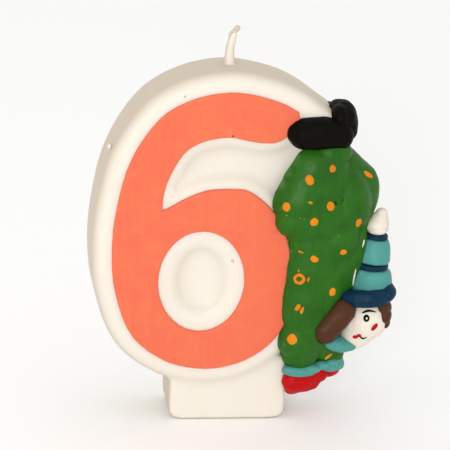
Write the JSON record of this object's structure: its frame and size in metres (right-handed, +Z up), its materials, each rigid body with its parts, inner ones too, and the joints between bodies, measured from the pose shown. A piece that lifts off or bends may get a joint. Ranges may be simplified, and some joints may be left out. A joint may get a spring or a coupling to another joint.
{
  "type": "number birthday candle",
  "caption": "Birthday candle shaped as a numeral on a flat foot, with a clown doing a handstand at its side and an exposed wick on top.",
  "frame": {"origin": "middle of the foot's flat underside", "axes": "+Z up towards the wick, -Y towards the coloured numeral's front, +X to the clown's side"},
  "size_m": [0.0732, 0.027, 0.095],
  "materials": {
    "ivory_wax": "soft satin wax",
    "coral_wax": "satin coloured wax",
    "cotton_wick": "braided cotton",
    "green_paint": "glossy painted wax",
    "orange_paint": "glossy raised paint",
    "black_paint": "glossy painted wax",
    "teal_paint": "glossy painted wax",
    "red_paint": "glossy painted wax",
    "skin_wax": "soft satin wax",
    "brown_paint": "painted wax",
    "navy_paint": "glossy painted wax"
  },
  "bodies": {
    "root": {"candle_body": "ivory_wax", "numeral_layer": "coral_wax", "wick_cord": "cotton_wick", "wick_wax": "ivory_wax", "torso": "green_paint", "front_leg": "green_paint", "rear_leg": "green_paint", "front_sleeve": "green_paint", "rear_sleeve": "green_paint", "costume_dots": "orange_paint", "front_shoe": "black_paint", "rear_shoe": "black_paint", "front_cuff": "teal_paint", "rear_cuff": "teal_paint", "front_glove": "red_paint", "rear_glove": "red_paint", "collar": "teal_paint", "head": "skin_wax", "near_hair": "brown_paint", "far_hair": "brown_paint", "hat_brim": "navy_paint", "hat_bands": "teal_paint", "hat_stripes": "navy_paint", "hat_pompom": "ivory_wax", "eye_ring": "black_paint", "eyebrow": "black_paint", "nose": "red_paint", "lips": "red_paint", "smile_line": "black_paint"}
  },
  "joints": []
}
